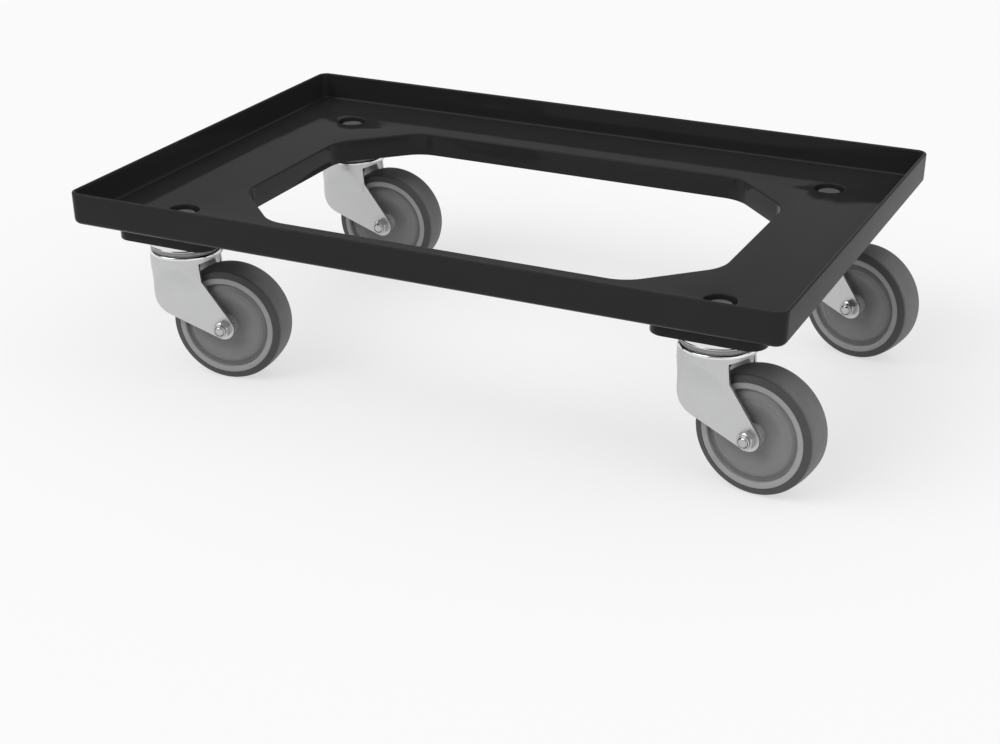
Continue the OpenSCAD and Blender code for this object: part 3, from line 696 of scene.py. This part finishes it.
class DOLLY_OT_tray(bpy.types.Operator):
    """The moulded tray: rim, deck, opening with its skirt, caster pads and ribs"""

    bl_idname = "dolly.tray"
    bl_label = "Tray"

    def execute(self, context):
        size = context.scene.dolly_tray
        edge, fillet, low, foot = (size.opening_edge, size.deck_fillet, size.lower_edge,
                                   size.skirt_edge)
        rim = Outline(rectangle(TRAY_HALF), 10 * MM, 14)
        opening = opening_outline()
        draft = size.wall_draft
        section = np.concatenate([
            arc([-WALL - fillet, fillet], fillet, -90, 0),
            arc([-WALL / 2, RIM_TOP - WALL / 2], WALL / 2, 180, 0, 10),
            arc([-low, low - DECK], low, 0, -90, 8) - [draft, 0],
        ])
        mouth = np.concatenate([
            arc([edge, -edge], edge, 90, 180),
            arc([foot, foot - DEPTH], foot, 180, 270, 3),
            arc([SKIRT - foot, foot - DEPTH], foot, -90, 0, 3),
            arc([SKIRT + foot, -DECK - foot], foot, 180, 90, 3),
        ])
        bore, lip, boss, floor = 13 * MM, 1.2 * MM, 16.2 * MM, RECESS_FLOOR
        well = np.concatenate([
            arc([bore + lip, -lip], lip, 90, 180),
            arc([bore - foot, foot + floor], foot, 0, -90, 3),
            [[BOLT_HOLE_R, floor], [BOLT_HOLE_R, -DEPTH]],
            arc([boss - foot, foot - DEPTH], foot, -90, 0, 3),
            arc([boss + foot, -DECK - foot], foot, 180, 90, 3),
        ])
        shells = [grid(rim.carry(section), True), grid(opening.carry(mouth), True)]
        wells = revolve(well, 64)
        places = [caster.pivot[:2] for caster in CASTERS]
        shells += [grid(wells + [*p, 0], True) for p in places]
        tops = [wells[:, 0, :2] + p for p in places]
        feet = [wells[:, -1, :2] + p for p in places]
        shells.append(flat_fill(rim.loop(-WALL - fillet), [opening.loop(edge), *tops], 0))
        shells.append(flat_fill(rim.loop(-low - draft), [opening.loop(SKIRT + foot), *feet],
                                -DECK, True))
        shells += self.pads(places, foot) + self.ribs()
        piece("tray_moulding", shells, "tray", finish("tray"), ["tray_frame"], 35)
        return {"FINISHED"}

    def pads(self, places, foot):
        """Walls carried round each pad, and eight webs between wall and boss."""
        wall = PAD_WALL
        pad = Outline(rectangle(PAD_HALF), 14 * MM, 8)
        section = np.concatenate([
            [[0, RIB_TOP]], arc([-foot, foot - DEPTH], foot, 0, -90, 3),
            arc([foot - wall, foot - DEPTH], foot, -90, -180, 3), [[-wall, RIB_TOP]],
        ])
        made = []
        for p in places:
            made.append(grid(pad.carry(section) + [*p, 0], True, True))
            for a in np.radians(np.arange(0, 360, 45)):
                way = np.array([math.cos(a), math.sin(a)])
                reach = min((PAD_HALF - wall / 2) / np.maximum(abs(way), 1e-6))
                made.append(grid(bar(p + way * 15 * MM, p + way * reach, wall, RIB_TOP,
                                     -DEPTH, -DEPTH), False, True))
        return made

    def ribs(self):
        """Ribs across and along each strip of the deck, deep at the skirt and none at the rim."""
        made = []
        for axis in (0, 1):
            other, order = 1 - axis, 1 - 2 * axis
            caster = abs(CASTERS[0].pivot[other])
            strip = TRAY_HALF[axis] - OPEN_HALF[axis]
            run = 2 * (caster - PAD_HALF[other]) + PAD_WALL
            count = max(1, math.ceil(run / RIB_GAP) - 1)
            for side in (-1, 1):
                near = OPEN_HALF[axis] + SKIRT - 0.2 * MM
                far = TRAY_HALF[axis] - 5 * MM
                for k in range(1, count + 1):
                    at = run * (k / (count + 1) - 0.5)
                    ends = [np.array([side * d, at][::order]) for d in (near, far)]
                    made.append(grid(bar(*ends, RIB, RIB_TOP, 1 * MM - DEPTH, -DECK),
                                     False, True))
                along = side * (OPEN_HALF[axis] + SKIRT + (strip - SKIRT) / 2)
                ends = [np.array([along, s * run / 2][::order]) for s in (-1, 1)]
                made.append(grid(bar(*ends, RIB, RIB_TOP, LONG_RIB, LONG_RIB), False, True))
        return made


class DOLLY_OT_fasteners(bpy.types.Operator):
    """Mounting bolts, washers and nuts that hold the casters to the tray"""

    bl_idname = "dolly.fasteners"
    bl_label = "Mounting fasteners"

    def execute(self, context):
        flats, radius = 19 * MM, BOLT_R
        seat, nut_top, end = RECESS_FLOOR + WASHER, -43.6 * MM, -56.1 * MM
        bolts, washers, nuts = [], [], []
        head = hex_head(flats, 7.5 * MM) + [0, 0, seat]
        shank = revolve(np.array([[0, seat + 0.2 * MM], [radius, seat + 0.2 * MM],
                                  [radius, nut_top], [0, nut_top]]), 48)
        tail = threaded(radius - 0.02 * MM, 0, nut_top - end, pitch=1.75 * MM)
        tail = tail * [1, -1, -1] + [0, 0, nut_top]
        washer = soften([[BOLT_HOLE_R, 0], [12 * MM, 0], [12 * MM, WASHER], [BOLT_HOLE_R, WASHER]],
                        [0, 0.5 * MM, 0.5 * MM, 0.2 * MM], 3)
        ring = revolve(washer, 64)
        nut = hex_head(flats, 10 * MM, bore=radius + 0.05 * MM) * [1, -1, -1] + [0, 0, nut_top]
        for caster in CASTERS:
            at = np.array([*caster.pivot[:2], 0])
            spin = about_z(caster.heading * 2)
            bolts += [grid(head @ spin + at, True), grid(shank + at, True), grid(tail + at, True)]
            washers += [grid(ring + at + [0, 0, z], True, True)
                        for z in (RECESS_FLOOR, nut_top)]
            nuts.append(grid(nut @ spin + at, True, True))
        piece("mounting_bolt_set", bolts, "tray", finish("dark_zinc"),
              ["mounting_bolts"], 28)
        piece("mounting_washer_set", washers, "tray", finish("loose_zinc"),
              ["mounting_washers"])
        piece("mounting_nut_set", nuts, "tray", finish("loose_zinc"),
              ["mounting_nuts"], 28)
        return {"FINISHED"}


class DOLLY_OT_swivel_heads(bpy.types.Operator):
    """Race cups and dust rings, and the finish of the parts inside them"""

    bl_idname = "dolly.swivel_heads"
    bl_label = "Swivel heads"

    def execute(self, context):
        outer, sheet = HEAD_R, SHEET
        cup = np.concatenate([
            [[PIN_HOLE_R, 0]], arc([outer - 1.2 * MM, -1.2 * MM], 1.2 * MM, 90, -7, 6),
            [[outer - 0.7 * MM, -5.8 * MM]],
            arc([outer - 0.5 * MM, -7 * MM], 0.5 * MM, 60, -90, 6),
            [[outer - sheet, -7.5 * MM]], arc([outer - sheet - 1 * MM, -4 * MM], 1 * MM, 0, 90, 4),
            arc([21.5 * MM, -5.5 * MM], 3.05 * MM, 55, 125, 8), [[PIN_HOLE_R, -3 * MM]],
        ])
        ring = soften([[25.8 * MM, -11 * MM], [29.3 * MM, -11 * MM], [29.3 * MM, -10.3 * MM],
                       [30.4 * MM, -10.3 * MM], [30.4 * MM, -7.8 * MM], [25.8 * MM, -7.8 * MM]],
                      [0, 0, 0, 0.4 * MM, 0.6 * MM, 0.3 * MM], 4)
        for caster in CASTERS:
            piece(caster.corner + "_cup", [grid(caster.place(revolve(cup, 128)), True, True)],
                  "tray", finish("bright_zinc"), [caster.corner + "_race_cup"], 40)
            piece(caster.corner + "_seal", [grid(caster.place(revolve(ring, 96)), True, True)],
                  caster.body, finish("seal"), [caster.corner + "_dust_ring"], 50)
        paint(each("kingpin", "lower_race", "balls"), "loose_zinc")
        return {"FINISHED"}


LEG_Y = 22.6 * MM
BULGE = HEAD_R - LEG_Y
FLANK = math.sqrt(HEAD_R**2 - LEG_Y**2)  # where the round crown meets the flat of a leg
SIDE = HEAD_R * math.pi / 2  # walk round the crown from its front to its side
JOIN_Z = -18.5 * MM
SHOULDER_Z = -14 * MM
FLAT_Z = -45.4 * MM  # below this height the legs are flat
FRONT_X = -22.5 * MM  # front edge of the legs


def fork_skin(walk, z, blend):
    """The fork's outer skin at a walk round the crown from its front, and a height.

    Up to the side the point lies on the crown's circle, behind it straight behind. Its
    distance from the middle plane is that of the leg plus a bulge: the circle's own bulge and
    the drawn one, put together as the cube root of the sum of their inverse cubes. The drawn
    one falls from without limit at the shoulder to nothing at the legs."""
    angle = np.minimum(walk, SIDE) / HEAD_R
    behind = np.maximum(walk - SIDE, 0)
    round_y = np.where(walk <= SIDE, HEAD_R * np.sin(angle),
                       np.sqrt(np.maximum(HEAD_R**2 - behind**2, LEG_Y**2)))
    t = np.clip((z - FLAT_Z) / (SHOULDER_Z - FLAT_Z), 0, 1)
    s = t * t * (3 - 2 * t)
    drawn = BULGE * s / np.maximum(1 - s**4, 1e-9)
    own = np.maximum(round_y - LEG_Y, 0)
    both = drawn * own / np.maximum(np.cbrt(drawn**3 + own**3), 1e-12)
    y = LEG_Y + both
    soft = np.maximum(blend * (1 - s), 1e-9)
    front = np.minimum(y, round_y) - np.maximum(soft - abs(y - round_y), 0) ** 2 / (4 * soft)
    y = np.where(walk <= SIDE, front, y)
    x = np.where(walk <= SIDE, -HEAD_R * np.cos(angle), behind)
    return np.stack([x, y, z + 0 * x], -1)


def walk_of(x):
    """The walk round the crown that reaches a place x on the side view."""
    return np.where(x < 0, HEAD_R * np.arccos(np.clip(-x / HEAD_R, -1, 1)), SIDE + x)


def leg_edges(axle):
    """A leg's root on the crown and its outline from the front skirt round to the back edge.

    Both are walks round the crown with heights, one point of the root for each point of the
    outline, so that straight lines between them cover the leg without crossing."""
    end_r, slope = 10 * MM, math.radians(20.8)
    knee = np.array([22.5, -34.5]) * MM
    low = axle - end_r * np.array([math.sin(slope), math.cos(slope)])
    gap = axle - knee
    lean = math.atan2(gap[1], gap[0]) + math.asin(end_r / np.linalg.norm(gap))
    tip = math.degrees(lean - slope) / 2
    high = axle + end_r * np.array([-math.sin(lean), math.cos(lean)])
    corner = [FRONT_X, low[1] + (low[0] - FRONT_X) * math.tan(slope)]
    side = soften([[FRONT_X, -37 * MM], corner, low], [0, 22 * MM, 0], 14, False)
    side = np.concatenate([side, arc(axle, end_r, -90 - math.degrees(slope), tip, 12)[1:]])
    side = resample(side, 64)
    upper = resample(np.concatenate([arc(axle, end_r, tip, math.degrees(lean) + 90, 12),
                                     [high, knee]]), 40)
    heel = resample(np.array([knee, [FLANK, -21 * MM]]), 9)
    front = float(walk_of(np.array(FRONT_X)))
    bend = front - 12 * MM
    skirt = np.stack([np.linspace(0, bend, 8), np.full(8, -25 * MM)], -1)
    arch = arc([bend, -37 * MM], 12 * MM, 90, 0, 12)
    rest = np.concatenate([side[1:], upper[1:], heel[1:]])
    outline = np.concatenate([skirt, arch[1:], np.stack([walk_of(rest[:, 0]), rest[:, 1]], -1)])
    reach = SIDE + FLANK
    spots = [0, bend, front, reach - 25 * MM, reach - 14 * MM, reach]
    counts = [8, 13, 64, 40, 9]
    walks = [np.linspace(a, b, n)[k > 0:] for k, (a, b, n) in
             enumerate(zip(spots[:-1], spots[1:], counts))]
    root = np.concatenate(walks)
    return np.stack([root, np.full(len(root), JOIN_Z)], -1), outline


def fork_shells(caster, size):
    """Half a fork and its mirror image: a crown over a leg, as open sheet."""
    root, outline = leg_edges(np.array([caster.trail, -caster.drop]))
    share = np.linspace(0, 1, 40)[None, :, None]
    flat = root[:, None] * (1 - share) + outline[:, None] * share
    leg = fork_skin(flat[..., 0], flat[..., 1], size.front_blend)
    walks = root[:, 0]
    columns = len(walks)
    rear = np.linspace(math.asin(LEG_Y / HEAD_R), 0, 12)[1:]
    angle = np.concatenate([np.where(walks <= SIDE, walks / HEAD_R, math.pi / 2 + np.arcsin(
        np.clip((walks - SIDE) / HEAD_R, 0, 1))), math.pi - rear])
    rise = (HEAD_R * np.cos(rear) - FLANK) * 3 / 11.5
    foot = np.concatenate([np.full(columns, JOIN_Z), JOIN_Z + rise])
    down = np.linspace(0, 1, 5)[:, None]
    z = SHOULDER_Z + (foot[None] - SHOULDER_Z) * down
    near = fork_skin(np.broadcast_to(walks, (5, columns)), z[:, :columns], size.front_blend)
    far = np.stack([HEAD_R * np.cos(rear) + 0 * down, HEAD_R * np.sin(rear) + 0 * down,
                    z[:, columns:]], -1)
    shoulder = size.shoulder
    cap = np.concatenate([
        soften([[PIN_HOLE_R, -8 * MM], [25.3 * MM, -8 * MM], [25.5 * MM, -11 * MM],
                [27 * MM, -11 * MM]], [0, 0.6 * MM, 0.1 * MM, 0], 3, False),
        arc([HEAD_R - shoulder, SHOULDER_Z], shoulder, 90, 0, 8)[:-1]])
    top = np.stack([-cap[:, :1] * np.cos(angle), cap[:, :1] * np.sin(angle),
                    cap[:, 1:] + 0 * angle], -1)
    crown = np.concatenate([top, np.concatenate([near, far], 1)])
    made = []
    for mirror in (1, -1):
        way = np.array([1, mirror, 1])
        made.append(grid(caster.place(crown * way), flip=mirror > 0))
        made.append(grid(caster.place(leg * way), flip=mirror < 0))
    return made


class DOLLY_OT_forks(bpy.types.Operator):
    """The four forks, pressed from one sheet: round crowns drawn in to flat legs"""

    bl_idname = "dolly.forks"
    bl_label = "Forks"

    def execute(self, context):
        size = context.scene.dolly_caster
        for caster in CASTERS:
            made = piece(caster.corner + "_fork_sheet", fork_shells(caster, size), caster.body,
                         finish("zinc"), [caster.corner + "_fork"], 180, False)
            wall = made.modifiers.new("sheet", "SOLIDIFY")
            wall.thickness = size.sheet
            wall.offset = -1
            wall.use_quality_normals = True
            edge = made.modifiers.new("edge", "BEVEL")
            edge.width = size.sheet_edge
            edge.segments = 2
            edge.limit_method = "ANGLE"
            edge.angle_limit = math.radians(50)
            edge.harden_normals = True
        return {"FINISHED"}


class DOLLY_OT_axles(bpy.types.Operator):
    """Axle bolts and nuts outside the forks' legs, and the finish of sleeves and washers"""

    bl_idname = "dolly.axles"
    bl_label = "Axles"

    def execute(self, context):
        flats, radius, hole, leg = 13 * MM, 4 * MM, 4.05 * MM, LEG_Y
        for caster in CASTERS:
            head = hex_head(flats, 5.3 * MM) * [1, -1, -1] - [0, 0, leg]
            shank = revolve(np.array([[0, -leg - 0.2 * MM], [radius, -leg - 0.2 * MM],
                                      [radius, leg], [0, leg]]), 40)
            tail = threaded(radius - 0.02 * MM, leg, leg + 8.5 * MM, pitch=1.25 * MM, steps=40)
            piece(caster.corner + "_axle", [grid(caster.place_on_axle(part), True)
                                            for part in (head, shank, tail)],
                  caster.body, finish("loose_zinc"), [caster.corner + "_axle_bolt"], 28)
            nut = hex_head(flats, 5.7 * MM, bore=hole) + [0, 0, leg]
            collar = soften([[hole, 5 * MM], [5.6 * MM, 5 * MM],
                             [5.3 * MM, 7.5 * MM], [radius + 0.4 * MM, 7.5 * MM]],
                            [0, 0, 0.7 * MM, 0.3 * MM], 5)
            collar = revolve(collar, 64) + [0, 0, leg]
            piece(caster.corner + "_lock_nut", [grid(caster.place_on_axle(part), True, True)
                                                for part in (nut, collar)],
                  caster.body, finish("loose_zinc"), [caster.corner + "_axle_nut"], 28)
        paint(each("axle_sleeve", "spacer_washers"), "loose_zinc")
        return {"FINISHED"}


def mirrored(half):
    """A section whose half above zero is given, closed by its mirror image."""
    return np.concatenate([half, half[::-1] * [1, -1]])


class DOLLY_OT_wheels(bpy.types.Operator):
    """Tyres, hubs and hub covers, turned about their axles"""

    bl_idname = "dolly.wheels"
    bl_label = "Wheels"

    def execute(self, context):
        size = context.scene.dolly_wheel
        ring = size.ring_edge
        hub = mirrored(soften(
            np.array([[6.05, 18.8], [8.9, 18.8], [9.5, 18.2], [9.5, 3], [35.5, 3], [35.5, 11],
                      [38, 11], [38, 16], [43, 16], [43, 10]]) * MM,
            [0, 0.3 * MM, 0.3 * MM, 0, 1 * MM, 0, 0, ring, ring * 0.6, 0], 4, False))
        edge = soften(
            np.array([[37.95, 11], [37.95, 12.3], [36.2, 12.2], [32.6, 14.6], [31.4, 14.8],
                      [30.4, 15.2], [29.4, 14.8], [28, 14.6]]) * MM,
            [0, 0.4 * MM, 0.9 * MM, 1.2 * MM, 0.6 * MM, 0.6 * MM, 0.6 * MM, 0], 5, False)
        reach = np.linspace(27, 9.55, 16)
        share = np.clip((28 - reach) / 16, 0, 1)
        dish = np.stack([reach, 14.6 - 3.4 * share**2 * (3 - 2 * share)], -1) * MM
        lid = np.concatenate([edge, dish, np.array([[9.55, 10], [24, 12], [32, 13],
                                                    [35.5, 11]]) * MM])
        side = soften(np.array([[43, 10], [43, 16], [43.4, 16], [48.7, 14.1], [49, 12.6],
                                [49.4, 9]]) * MM,
                      [0, 0, 0.3 * MM, size.shoulder, 0, 0], 6, False)[:-2]
        across = np.linspace(12.4 * MM, 0, 9)
        tread = np.stack([50 * MM - size.crown * (across / (14.2 * MM)) ** 2, across], -1)
        tyre = mirrored(np.concatenate([side, tread[:-1]]))
        for caster in CASTERS:
            self.turned(caster, "rim", [hub], "hub", "hub", 40)
            self.turned(caster, "lids", [lid, lid * [1, -1]], "cover", "hub_covers", 40)
            self.turned(caster, "rubber", [tyre], "tyre", "tyre", 40)
        return {"FINISHED"}

    def turned(self, caster, name, sections, slot, node, crease):
        """Sections turned about the axle, as one piece of the wheel."""
        shells = [grid(caster.place_on_axle(revolve(section, 144)), True, True)
                  for section in sections]
        piece(f"{caster.corner}_{name}", shells, caster.wheel, finish(slot),
              [f"{caster.corner}_{node}"], crease)


LOW_SKY, HIGH_SKY = 0.27, 1.36  # light from the horizon and from straight above
PALE_BAND = 0.09, 0.19  # heights between which the white as seen at the horizon fades
FLOOR_REACH = 14.0  # half the floor's width, in metres
CAMERA_PLACE = (0.6430, -1.3822, 0.5221)
CAMERA_TURN = (math.radians(65.76), 0, math.radians(25.33))


class DOLLY_OT_studio(bpy.types.Operator):
    """Pale floor, soft lamps and the camera"""

    bl_idname = "dolly.studio"
    bl_label = "Studio"

    def execute(self, context):
        stage = context.scene.dolly_stage
        reach = np.linspace(-FLOOR_REACH, FLOOR_REACH, 9)
        x, y = np.meshgrid(reach, reach, indexing="ij")
        ground = min(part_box(node)[0].z for node in each("tyre"))
        points, faces, _ = grid(np.stack([x, y, 0 * x + ground], -1))
        mesh = bpy.data.meshes.new("floor")
        mesh.from_pydata(points.tolist(), [], faces.tolist())
        mesh.materials.append(floor_paint(stage))
        floor = bpy.data.objects.new("floor", mesh)
        context.scene.collection.objects.link(floor)
        self.lamp(context, "key_lamp", stage.key, size=50, tilt=46, turn=-40)
        self.lamp(context, "fill_lamp", stage.fill, size=70, tilt=55, turn=75)
        world = bpy.data.worlds.new("studio")
        sky = Tree(world)
        way = sky.node("ShaderNodeTexCoord")["Generated"]
        height = sky.node("ShaderNodeSeparateXYZ", {}, {"Vector": way})["Z"]
        level = sky.spread(height, LOW_SKY * stage.sky, HIGH_SKY * stage.sky)
        low, high = PALE_BAND
        band = sky.node("ShaderNodeMapRange", {}, {
            "Value": height, "From Min": low, "From Max": high, "To Min": 1.0, "To Max": 0.0})
        strength = level + (1 - level) * (sky.seen() * band["Result"])
        shown = sky.node("ShaderNodeBackground", {}, {"Color": grey(1.0), "Strength": strength})
        sky.node("ShaderNodeOutputWorld", {}, {"Surface": shown["Background"]})
        context.scene.world = world
        context.scene.view_settings.view_transform = "Standard"
        camera = bpy.data.cameras.new("photo_camera")
        camera.sensor_width = 36
        camera.lens = stage.lens
        camera.clip_end = 100
        view = bpy.data.objects.new("photo_camera", camera)
        view.location = CAMERA_PLACE
        view.rotation_euler = CAMERA_TURN
        context.scene.collection.objects.link(view)
        context.scene.camera = view
        return {"FINISHED"}

    def lamp(self, context, name, strength, size, tilt, turn):
        """A distant lamp: the disc its light comes from, its tilt and its turn, in degrees."""
        light = bpy.data.lights.new(name, "SUN")
        light.energy = strength
        light.angle = math.radians(size)
        made = bpy.data.objects.new(name, light)
        made.rotation_euler = (math.radians(tilt), 0, math.radians(turn))
        context.scene.collection.objects.link(made)


class DOLLY_PT_sidebar(bpy.types.Panel):
    """Lists the dolly's pieces and its settings"""

    bl_idname = "DOLLY_PT_sidebar"
    bl_label = "Crate dolly"
    bl_space_type = "VIEW_3D"
    bl_region_type = "UI"
    bl_category = "Dolly"

    def draw(self, context):
        scene = context.scene
        for operator in OPERATORS:
            self.layout.operator(operator.bl_idname)
        for name in ("dolly_tray", "dolly_caster", "dolly_wheel", "dolly_colours", "dolly_stage"):
            settings = getattr(scene, name)
            box = self.layout.box()
            for key in settings.__annotations__:
                box.prop(settings, key)


OPERATORS = (DOLLY_OT_tray, DOLLY_OT_fasteners, DOLLY_OT_swivel_heads, DOLLY_OT_forks,
             DOLLY_OT_axles, DOLLY_OT_wheels, DOLLY_OT_studio)
SETTINGS = {"dolly_tray": DollyTray, "dolly_caster": DollyCaster, "dolly_wheel": DollyWheel,
            "dolly_colours": DollyColours, "dolly_stage": DollyStage}


def register():
    """Makes the settings, operators and panel known to Blender."""
    for name, group in SETTINGS.items():
        bpy.utils.register_class(group)
        setattr(bpy.types.Scene, name, PointerProperty(type=group))
    for operator in (*OPERATORS, DOLLY_PT_sidebar):
        bpy.utils.register_class(operator)


def unregister():
    """Takes them away again."""
    for operator in (DOLLY_PT_sidebar, *reversed(OPERATORS)):
        bpy.utils.unregister_class(operator)
    for name, group in reversed(SETTINGS.items()):
        delattr(bpy.types.Scene, name)
        bpy.utils.unregister_class(group)


def main():
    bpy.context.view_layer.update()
    register()
    bpy.ops.dolly.tray()
    bpy.ops.dolly.fasteners()
    bpy.ops.dolly.swivel_heads()
    bpy.ops.dolly.forks()
    bpy.ops.dolly.axles()
    bpy.ops.dolly.wheels()
    bpy.ops.dolly.studio()


if __name__ == "__main__":
    main()
